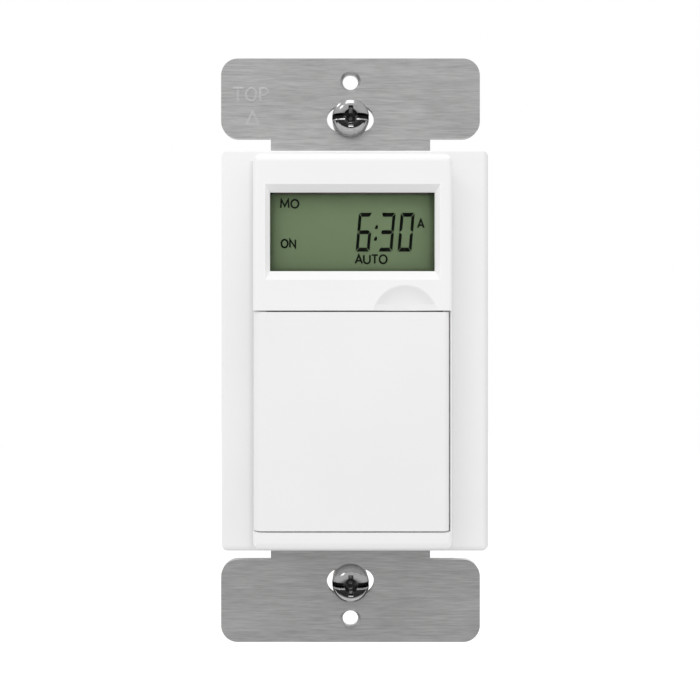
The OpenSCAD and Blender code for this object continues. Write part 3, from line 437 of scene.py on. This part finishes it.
# The readout: a clear acrylic window glued behind the bezel, two sheets of glass that hold
# the liquid crystal, and an olive film behind them. The dark signs lie between the sheets.
clear_acrylic = Finish(bpy.data.materials.new("clear acrylic"))
smear = clear_acrylic.noise(clear_acrylic.place(), 160, 3)
clear_acrylic.shade(Base_Color=clear_acrylic.blend(smear, (0.01, 0.012, 0.011), (0.02, 0.024, 0.022)),
                    Roughness=0.04 + smear * 0.03, Alpha=0.035 + smear * 0.02)
dress(clear_acrylic.owner, "display_window")

front_sheet = Finish(bpy.data.materials.new("readout front sheet"))
haze = front_sheet.noise(front_sheet.place(), 240, 3)
front_sheet.shade(Base_Color=front_sheet.blend(haze, (0.02, 0.03, 0.018), (0.03, 0.04, 0.025)),
                  Roughness=0.12 + haze * 0.05, Alpha=0.03 + haze * 0.02, Specular_IOR_Level=0.3)
dress(front_sheet.owner, "lcd_front_glass")

FILM_HALF_W, FILM_HALF_H, FILM_Z, FILM_LIGHT_LOW, FILM_LIGHT_HIGH = 13.8, 6.6, 20.35, 15, 27
olive = Finish(bpy.data.materials.new("olive readout film"))
spot = olive.place()
film_x, _, film_z = olive.axes(spot)
speck = olive.noise(spot, 9000, 2)
veil = olive.noise(spot, 70, 2)
# Painted shade: the film is darkened near its edges, where the bezel shades it.
film_rim_painted_shade = (abs(film_x) / (FILM_HALF_W * MM)).ramp(0.93, 1.01)
film_end_painted_shade = (abs(film_z - FILM_Z * MM) / (FILM_HALF_H * MM)).ramp(0.88, 1.02)
film_rim_painted_shade = film_rim_painted_shade.math("MAXIMUM", film_end_painted_shade)
# Painted light: the film's green is made lighter towards the top, against the shade that falls there.
height = film_z.ramp(FILM_LIGHT_LOW * MM, FILM_LIGHT_HIGH * MM)
green = olive.blend(height, (0.183, 0.255, 0.135), (0.226, 0.316, 0.166))
mottled = olive.blend(speck * 0.5 + veil * 0.5, green, (0.211, 0.293, 0.157))
olive.shade(
    Base_Color=olive.blend(film_rim_painted_shade * 0.45, mottled, (0.06, 0.08, 0.045)),
    Roughness=0.6 + speck * 0.1,
    Specular_IOR_Level=0.15,
    Normal=olive.relief(speck, 0.004 * MM, 0.4),
)
dress(olive.owner, "lcd_back_glass", "lcd_reflector")

sign_black = Finish(bpy.data.materials.new("dark readout signs"))
dense = sign_black.noise(sign_black.place(), 3000, 2)
sign_black.shade(Base_Color=sign_black.blend(dense, (0.0008, 0.001, 0.0008), (0.003, 0.0036, 0.003)),
                 Roughness=0.7 + dense * 0.1, Specular_IOR_Level=0.0)

word_black = Finish(bpy.data.materials.new("readout words"))
faint = word_black.noise(word_black.place(), 3000, 2)
word_black.shade(Base_Color=word_black.blend(faint, (0.003, 0.004, 0.003), (0.01, 0.012, 0.008)),
                 Roughness=0.7 + faint * 0.1, Specular_IOR_Level=0.0)

SIGN_Y = -8.74
words = []
for text, left, foot, height, width, gap in (("MO", -12.13, 24.44, 1.38, 1.28, 0.22),
                                             ("ON", -12.02, 17.68, 1.34, 1.14, 0.24),
                                             ("AUTO", 0.6, 14.97, 1.42, 1.22, 0.17),
                                             ("A", 11.22, 21.03, 1.38, 1.15, 0.2)):
    words += written(text, left, foot, height, width, gap)[0]
make("readout_words", *drawn(words, 0.3, SIGN_Y), word_black.owner, "readout_glass", smooth=False)

DIGIT_W, DIGIT_H, DIGIT_FOOT, LEAN = 2.38, 6.62, 16.98, 0.087
BAR, POST, SLIT = 0.68, 0.5, 0.07
HALF, TIP = DIGIT_H / 2, 0.06
POST_LINE = [(DIGIT_W, DIGIT_H - 2 * TIP), (DIGIT_W, HALF + 0.16), (DIGIT_W - 2 * TIP, HALF + SLIT),
             (DIGIT_W - POST, HALF + BAR / 2 + TIP), (DIGIT_W - POST, DIGIT_H - BAR)]
corners, bars = [], []


def levels(outer, inner, point):
    """The three level bars of a digit, from where their left ends lie."""
    out, far = DIGIT_W - 0.14, DIGIT_W - POST - TIP
    return [[(outer, DIGIT_H), (out, DIGIT_H), (far, DIGIT_H - BAR), (inner, DIGIT_H - BAR)],
            [(point, HALF), (inner, HALF + BAR / 2), (far, HALF + BAR / 2), (out - 0.04, HALF),
             (far, HALF - BAR / 2), (inner, HALF - BAR / 2)],
            [(inner, BAR), (far, BAR), (out, 0), (outer, 0)]]


def post(side, end):
    """An upright bar: the upper right one, or its mirror image."""
    return [(DIGIT_W - x if side == "left" else x, DIGIT_H - z if end == "low" else z)
            for x, z in POST_LINE]


def bar(outline):
    area = sum(a[0] * b[1] - b[0] * a[1] for a, b in zip(outline, outline[1:] + outline[:1]))
    outline = outline if area > 0 else outline[::-1]
    bars.append(tuple(range(len(corners), len(corners) + len(outline))))
    corners.extend((x, SIGN_Y, z) for x, z in outline)


closed_levels = levels(0.14, POST + TIP, 0.18)
left_high, left_low = post("left", "high"), post("left", "low")
right_high, right_low = post("right", "high"), post("right", "low")
six = [*closed_levels, left_high, left_low, right_low]
three = [*levels(0.06, 0.32, 0.2), right_high, right_low]
nought = [closed_levels[0], closed_levels[2], left_high, left_low, right_high, right_low]
for left, digit in ((0.62, six), (4.5, three), (7.76, nought)):
    for outline in digit:
        bar([(left + x + LEAN * z, DIGIT_FOOT + z) for x, z in outline])
for x, z in ((4.0, 18.84), (4.16, 20.82)):
    bar([(x - 0.28, z), (x + 0.2, z), (x + 0.32, z + 0.4), (x + 0.16, z + 0.8), (x - 0.16, z + 0.48)])
make("readout_digits", corners, bars, sign_black.owner, "readout_glass", smooth=False)


# The door: moulded like the housing, with its barrel and pins in one piece, and turned
# about the left edge. Its free edge is rounded.
door_plastic = moulded("white moulded door", (0.84, 0.84, 0.84), 0.42)
dress(door_plastic, "door")
soften("door", 0.1 * MM)


# The keys under the door: moulded caps with rounded edges, each on the black plunger of its
# push switch. Their names are printed on the plate above them.
key_plastic = moulded("light grey key plastic", (0.6, 0.605, 0.61), 0.5, 0.006, 5000, 0.02)
reset_plastic = moulded("dark grey key plastic", (0.12, 0.12, 0.125), 0.5, 0.006, 5000, 0.03)
black_plastic = moulded("black moulded plastic", (0.018, 0.018, 0.019), 0.45, 0.008, 4000, 0.1)
KEYS = ["program", "day", "clock", "hour", "random", "minute", "mode", "reset"]
for key in KEYS:
    dress(reset_plastic if key == "reset" else key_plastic, key + "_key")
    dress(black_plastic, key + "_plunger")
    if key != "reset":
        soften(key + "_key", 0.25 * MM)

print_grey = Finish(bpy.data.materials.new("grey print"))
worn = print_grey.noise(print_grey.place(), 2500, 3)
print_grey.shade(
    Base_Color=print_grey.blend(worn.ramp(0.3, 0.8), (0.05, 0.052, 0.056), (0.085, 0.087, 0.09)),
    Roughness=0.55 + worn * 0.1,
)
PLATE_Y, NAME_H, NAME_RISE = -9.4, 1.3, 0.35
legends = []
for key, word in (("program", "PROG"), ("day", "DAY"), ("clock", "CLOCK"), ("hour", "HOUR"),
                  ("random", "RANDOM"), ("minute", "MIN"), ("mode", "ON/AUTO/OFF"), ("reset", "R")):
    low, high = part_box(key + "_key")
    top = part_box("day_key")[1].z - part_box("day_key")[0].z if key == "reset" else high.z - low.z
    middle = (low + high) / 2 / MM
    legends += centred(word, middle.x, middle.z + top / 2 / MM + NAME_RISE, NAME_H, 0.95, 0.22)
make("key_names", *drawn(legends, 0.17, PLATE_Y - 0.02), print_grey.owner, "black_plastic", smooth=False)


# The two screws into the wall box: nickel plated steel, with a domed head that takes a
# flat or a cross driver and a rolled thread of 0.79 mm pitch. A washer keeps each in its
# slot. The recess is pressed and dull, and its colour is painted darker still as shade,
# near black towards the ends of the slot; the dome is bright and takes up the light from above.
def plating(name, pale, deep, ends, rough):
    """Plated steel whose tone changes to that of ends at the ends of the slot."""
    bright = Finish(bpy.data.materials.new(name))
    spot = bright.place()
    rub = bright.noise(spot, 2600, 4)
    aside, _, height = bright.axes(spot)
    polish = bright.relief(rub, 0.003 * MM, 0.5)
    lean = bright.node("CombineXYZ", None, {0: 0.0, 1: 0.0, 2: height * -3.1 - 0.08})
    facing = bright.node("VectorMath", {"operation": "ADD"}, {0: polish, 1: lean})
    pale, deep, ends = [(grey, grey, grey) for grey in (pale, deep, ends)]
    middle = bright.blend(rub.ramp(0.3, 0.7), deep, pale)
    bright.shade(
        Base_Color=bright.blend(abs(aside).ramp(1.0 * MM, 1.5 * MM), middle, ends),
        Metallic=1.0,
        Roughness=rough + rub * 0.1,
        Normal=bright.node("VectorMath", {"operation": "NORMALIZE"}, {0: facing}),
    )
    return bright.owner


bright_plating = plating("bright plated steel", 0.54, 0.46, 0.5, 0.1)
# The recess is rougher steel, and its colour is painted shade: dark, and near black towards the ends of
# the slot.
dull_shaded_plating = plating("dull recess with painted shade", 0.26, 0.14, 0.03, 0.3)

STRAP_Y = -1.2
HEAD_R, HEAD_H, DOME_FALL, DOME_POWER = 3.3, 2.28, 1.1, 4.9
SLOT_W, SLOT_DEEP, LIP, LIP_SLOPE = 0.88, 1.1, 0.26, 0.8
WING_W, WING_REACH, WING_TAPER, CROSS_DEEP, CROSS_FALL = 0.9, 1.75, 0.06, 1.9, 0.62
CONE_R, CONE_FLAT, CONE_SLOPE = 1.12, 0.35, 1.3
BITE, BITE_W, BITE_SIDE = -1.08, 0.24, 0.36
RIM_H = 0.06
NECK_R, THREAD_R, ROOT_R, PITCH = 1.45, 1.74, 1.36, 0.794
THREAD_START, SCREW_END = 1.2, 19.9


def head_height(x, z):
    """The height of the dome above the strap. Its edge is rounder above than below."""
    r = max(math.hypot(x, z), 1e-6)
    return HEAD_H - DOME_FALL * min(r / HEAD_R, 1.0) ** (DOME_POWER - z / r)


def step(distance, width):
    """1 well inside an edge, 0 well outside it, and smooth over that width."""
    t = min(max(0.5 - distance / width, 0.0), 1.0)
    return t * t * (3 - 2 * t)


def recess(x, z):
    """The depth of the slot and the cross at a point of the head."""
    deep = SLOT_DEEP * step(abs(z) - SLOT_W / 2 + 0.04, 0.08)
    if -SLOT_W / 2 - LIP < z < -SLOT_W / 2:
        deep = max(deep, LIP_SLOPE * (z + SLOT_W / 2 + LIP))
    if abs(x) < WING_W / 2 and -WING_REACH - LIP < z < -WING_REACH:
        deep = max(deep, LIP_SLOPE * (z + WING_REACH + LIP))
    for along, across in ((x, z), (z, x)):
        fall = CROSS_DEEP - CROSS_FALL * abs(along)
        if along is z and abs(z - BITE) < BITE_W / 2:
            fall -= LIP_SLOPE * BITE_W * step(z - BITE, BITE_W)
        taper = WING_W / 2 - WING_TAPER * abs(along)
        deep = max(deep, fall * step(abs(across) - taper, 0.12) * step(abs(along) - WING_REACH, 0.14))
    cone = CROSS_DEEP + 0.1 - CONE_SLOPE * max(0.0, math.hypot(x, z) - CONE_FLAT)
    return max(deep, cone * step(math.hypot(x, z) - CONE_R, 0.2))


TURNS, RINGS, AROUND = 240, 64, 40


def turned(points, y, r, sides):
    """Adds a ring of points round the screw's axis and tells where it starts."""
    points += [(r * math.cos(2 * math.pi * j / sides), y, r * math.sin(2 * math.pi * j / sides))
               for j in range(sides)]
    return len(points) - sides


def joined(a, b, sides):
    """The faces between the rings that start at a and b."""
    return [(a + j, b + j, b + (j + 1) % sides, a + (j + 1) % sides) for j in range(sides)]


def screw_head():
    """The dome with its recess, down to the neck. The dull faces, whose colour is painted
    shade, are those inside the recess.
    """
    points, faces, dull = [(0, STRAP_Y - HEAD_H + recess(0, 0), 0)], [], []
    for i in range(1, RINGS + 1):
        r = HEAD_R * (i / RINGS) ** 0.92
        start = turned(points, 0, r, TURNS)
        for j in range(start, start + TURNS):
            x, y, z = points[j]
            points[j] = (x, STRAP_Y - max(RIM_H, head_height(x, z) - recess(x, z)), z)
    faces += [(0, 1 + t, 1 + (t + 1) % TURNS) for t in range(TURNS)]
    for i in range(RINGS - 1):
        faces += joined(1 + i * TURNS, 1 + (i + 1) * TURNS, TURNS)
    for face in faces:
        x = sum(points[k][0] for k in face) / len(face)
        z = sum(points[k][2] for k in face) / len(face)
        # The lower lip of the slot and the bite in the cross keep the bright plating and catch the
        # light; the other faces in the recess get the painted shade.
        worn = abs(z - BITE) < BITE_W / 2 + 0.02 or z < -WING_REACH + 0.04
        kept_bright = worn and abs(x) < BITE_SIDE
        dull.append(recess(x, z) > 0.2 and not kept_bright)
    below = turned(points, STRAP_Y - 0.02, HEAD_R, TURNS)
    neck = turned(points, STRAP_Y - 0.02, NECK_R, TURNS)
    faces += joined(1 + (RINGS - 1) * TURNS, below, TURNS) + joined(below, neck, TURNS)
    return points, faces, dull


def screw_shank():
    """The neck and the thread, a ridge that runs round the core and fades at both ends."""
    points, faces = [], []
    rings = [turned(points, y, NECK_R, AROUND) for y in (STRAP_Y - 0.02, THREAD_START - 0.15)]
    count = int((SCREW_END - THREAD_START) / PITCH * 12)
    for i in range(count + 1):
        y = THREAD_START + (SCREW_END - THREAD_START) * i / count
        run = max(0.0, min((y - THREAD_START) / 0.7, 1.0, (SCREW_END - y) / 1.1))
        start = turned(points, y, 1.0, AROUND)
        for j in range(AROUND):
            phase = (y / PITCH - j / AROUND) % 1.0
            crest = max(0.0, 1 - abs(phase - 0.5) / 0.42)
            r = ROOT_R + (THREAD_R - ROOT_R) * crest * run
            x, _, z = points[start + j]
            points[start + j] = (x * r, y, z * r)
        rings.append(start)
    for a, b in zip(rings, rings[1:]):
        faces += joined(a, b, AROUND)
    points.append((0, SCREW_END + 0.08, 0))
    faces += [(len(points) - 1, rings[-1] + (j + 1) % AROUND, rings[-1] + j) for j in range(AROUND)]
    return points, faces


head_points, head_faces, shaded_recess_faces = screw_head()
shank_points, shank_faces = screw_shank()
screw_points = head_points + shank_points
screw_faces = head_faces + [tuple(k + len(head_points) for k in face) for face in shank_faces]
for name, node in (("upper_wall_screw", "upper_box_screw"), ("lower_wall_screw", "lower_box_screw")):
    low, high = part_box(node)
    height = (low.z + high.z) / 2 / MM
    shifted = [(x, y, z + height) for x, y, z in screw_points]
    screw = make(name, shifted, screw_faces, bright_plating, "plated_screw")
    screw.data.materials.append(dull_shaded_plating)
    for face, dull in zip(screw.data.polygons, shaded_recess_faces):
        face.material_index = int(dull)
    screw.data.set_sharp_from_angle(angle=math.radians(50))
    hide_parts(node)

fibre = Finish(bpy.data.materials.new("vulcanised fibre"))
fluff = fibre.noise(fibre.stretch(fibre.place(), 1400, 5000, 2600), 1.0, 4, 0.7)
fibre.shade(Base_Color=fibre.blend(fluff, (0.32, 0.26, 0.21), (0.42, 0.36, 0.3)), Roughness=0.8,
            Normal=fibre.relief(fluff, 0.01 * MM, 0.6))
dress(fibre.owner, "screw_washers")


# The case and board screws: small zinc plated screws that cut their own thread in the
# bosses and posts. The plating is slightly cloudy.
zinc = Finish(bpy.data.materials.new("zinc plated steel"))
bloom = zinc.noise(zinc.place(), 1300, 4)
zinc.shade(Base_Color=zinc.blend(bloom, (0.4, 0.41, 0.43), (0.58, 0.58, 0.57)), Metallic=1.0,
           Roughness=0.28 + bloom * 0.2, Normal=zinc.relief(bloom, 0.004 * MM, 0.5))
dress(zinc.owner, "case_screws", "board_screws", "power_board_screws")


# The ground lug: a bent brass angle, riveted to the strap. The terminals for the leads are
# of the same rolled brass, dulled a little where it was handled.
brass = Finish(bpy.data.materials.new("rolled brass"))
rolled = brass.noise(brass.stretch(brass.place(), 1500, 220, 1500), 1.0, 4, 0.6)
dull = brass.noise(brass.place(), 420, 3)
brass.shade(Base_Color=brass.blend(dull.ramp(0.35, 0.7), (0.68, 0.5, 0.22), (0.5, 0.34, 0.15)),
            Metallic=1.0, Roughness=0.24 + dull * 0.25, Normal=brass.relief(rolled, 0.004 * MM, 0.5))
dress(brass.owner, "ground_lug", "lead_terminals")


# The frame of the readout and its contact strips: a black moulding on the control board,
# and soft silicone in thin layers, dark and light by turns, that carries the signals.
dress(black_plastic, "lcd_holder", "board_header", "push_switches")
silicone = Finish(bpy.data.materials.new("layered silicone"))
along = silicone.axes(silicone.place())[0]
layer = (along * 5000).math("FRACT") > 0.5
sponge = silicone.noise(silicone.place(), 5000, 2)
silicone.shade(Base_Color=silicone.blend(layer, (0.05, 0.05, 0.05), (0.6, 0.32, 0.32)),
               Roughness=0.7 + sponge * 0.15, Normal=silicone.relief(sponge, 0.01 * MM, 0.5))
dress(silicone.owner, "contact_strips")


# The control board: glass cloth under green lacquer, with copper tracks that show through
# it as lighter lines. On its back are the chip, the clock crystal and the backup cell.
lacquer = Finish(bpy.data.materials.new("green lacquered board"))
spot = lacquer.place()
track_x, _, track_z = lacquer.axes(spot)
lines = abs((track_x * 620).math("FRACT") - 0.5) < 0.19
blocks = lacquer.cells(lacquer.stretch(spot, 160, 1, 110), 1.0)
rails = abs((track_z * 480).math("FRACT") - 0.5) < 0.16
tracks = lines * (blocks > 0.42) + rails * (blocks < 0.3)
cloth = lacquer.noise(lacquer.stretch(spot, 5200, 5200, 5200), 1.0, 2)
lacquer.shade(
    Base_Color=lacquer.blend(tracks, (0.012, 0.085, 0.03), (0.04, 0.2, 0.07)),
    Roughness=0.3 + cloth * 0.12,
    Normal=lacquer.relief(tracks * 0.7 + cloth * 0.3, 0.02 * MM, 0.6),
)
dress(lacquer.owner, "control_board")
resin = moulded("black chip resin", (0.022, 0.022, 0.023), 0.6, 0.01, 5200, 0.12)
dress(resin, "control_chip", "rectifier_diodes")
nickel = Finish(bpy.data.materials.new("nickel plated cans"))
ring = nickel.noise(nickel.stretch(nickel.place(), 900, 900, 3600), 1.0, 4)
nickel.shade(Base_Color=nickel.blend(ring, (0.5, 0.5, 0.48), (0.68, 0.67, 0.64)), Metallic=1.0,
             Roughness=0.2 + ring * 0.18, Normal=nickel.relief(ring, 0.003 * MM, 0.5))
dress(nickel.owner, "clock_crystal", "backup_cell", "cell_clip")


# The power board: brown paper board that stands on four posts of the rear housing, with
# the relay, the capacitors, the fuse, the surge disc, the diodes and the dropping resistor.
paper = Finish(bpy.data.materials.new("brown paper board"))
fibres = paper.noise(paper.stretch(paper.place(), 900, 3000, 5200), 1.0, 4, 0.65)
paper.shade(Base_Color=paper.blend(fibres, (0.3, 0.17, 0.07), (0.44, 0.28, 0.13)),
            Roughness=0.5 + fibres * 0.15, Normal=paper.relief(fibres, 0.01 * MM, 0.5))
dress(paper.owner, "power_board")
dress(moulded("blue relay case", (0.03, 0.12, 0.4), 0.32, 0.006, 4200, 0.05), "relay")
dress(moulded("red capacitor case", (0.4, 0.05, 0.03), 0.3, 0.006, 4200, 0.05), "film_capacitor")
dress(moulded("brown fuse case", (0.13, 0.06, 0.03), 0.45, 0.008, 4200, 0.08), "fuse")
dress(moulded("blue dipped disc", (0.04, 0.17, 0.36), 0.4, 0.03, 1500, 0.06), "varistor")

sleeve = Finish(bpy.data.materials.new("printed capacitor sleeve"))
spot = sleeve.place()
can_x, can_y, _ = sleeve.axes(spot)
can_low, can_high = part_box("smoothing_capacitor")
band = (can_x > (can_low.x + can_high.x) / 2 + 2.6 * MM) * (can_y < can_high.y - 0.6 * MM)
crown = can_y > can_high.y - 0.6 * MM
wrap = sleeve.noise(spot, 900, 3)
sleeve.shade(
    Base_Color=sleeve.blend(crown, sleeve.blend(band, (0.02, 0.024, 0.07), (0.45, 0.46, 0.48)),
                            (0.62, 0.62, 0.63)),
    Metallic=crown,
    Roughness=0.3 + wrap * 0.1,
    Normal=sleeve.relief(wrap, 0.01 * MM, 0.4),
)
dress(sleeve.owner, "smoothing_capacitor")

banded = Finish(bpy.data.materials.new("banded resistor lacquer"))
spot = banded.place()
length_z = banded.axes(spot)[2]
first = abs(length_z - 3.2 * MM) < 0.45 * MM
second = abs(length_z - 1.6 * MM) < 0.45 * MM
third = abs(length_z) < 0.45 * MM
fourth = abs(length_z + 2.6 * MM) < 0.45 * MM
skin = banded.noise(spot, 2200, 3)
body = banded.blend(skin, (0.07, 0.28, 0.3), (0.09, 0.33, 0.36))
body = banded.blend(first, body, (0.3, 0.1, 0.03))
body = banded.blend(second, body, (0.02, 0.02, 0.02))
body = banded.blend(third, body, (0.3, 0.1, 0.03))
body = banded.blend(fourth, body, (0.5, 0.36, 0.1))
banded.shade(Base_Color=body, Roughness=0.35 + skin * 0.15, Normal=banded.relief(skin, 0.02 * MM, 0.4))
dress(banded.owner, "series_resistor")


# The rear housing: a deep box of grey-white plastic with a spark-eroded texture, held by
# four long screws from the back. It has a slot for the leads and a shallow field.
eroded = Finish(bpy.data.materials.new("textured back plastic"))
spot = eroded.place()
pits = eroded.cells(spot, 2600)
fleck = eroded.noise(spot, 5200, 3)
flow = eroded.noise(eroded.stretch(spot, 30, 60, 30), 1.0, 2)
eroded.shade(
    Base_Color=eroded.blend(flow.ramp(0.3, 0.7), (0.73, 0.73, 0.72), (0.77, 0.77, 0.76)),
    Roughness=0.55 + fleck * 0.15,
    Normal=eroded.relief(pits * 0.6 + fleck * 0.4, 0.03 * MM, 0.7),
)
dress(eroded.owner, "rear_housing")
soften("rear_housing", 0.12 * MM)


# The label in the shallow field at the back: silver grey foil, stuck down flat. It ends a
# little inside the field.
foil = Finish(bpy.data.materials.new("silver grey foil"))
spot = foil.place()
crease = foil.noise(foil.stretch(spot, 60, 60, 900), 1.0, 4, 0.6)
dust = foil.noise(spot, 3000, 2)
foil.shade(Base_Color=foil.blend(crease, (0.52, 0.53, 0.54), (0.62, 0.63, 0.64)), Metallic=0.35,
           Roughness=0.42 + dust * 0.12, Normal=foil.relief(crease * 0.7 + dust * 0.3, 0.01 * MM, 0.5))
back_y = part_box("rear_housing")[1].y / MM
LABEL_W, LABEL_H, LABEL_R, LABEL_Z = 25.2, 29.2, 1.5, 3.9
outline = []
for turn, (side, end) in enumerate(((1, 1), (-1, 1), (-1, -1), (1, -1))):
    outline += arc(side * (LABEL_W / 2 - LABEL_R), LABEL_Z + end * (LABEL_H / 2 - LABEL_R),
                   LABEL_R, LABEL_R, 90 * turn, 90 * turn + 90, 6)
count = len(outline)
sheet = [(x, y, z) for y in (back_y - 0.39, back_y - 0.24) for x, z in outline]
sides = [(i, (i + 1) % count, count + (i + 1) % count, count + i) for i in range(count)]
ends = [tuple(range(count))[::-1], tuple(range(count, 2 * count))]
make("back_label", sheet, ends + sides, foil.owner, "back_plastic", smooth=False)
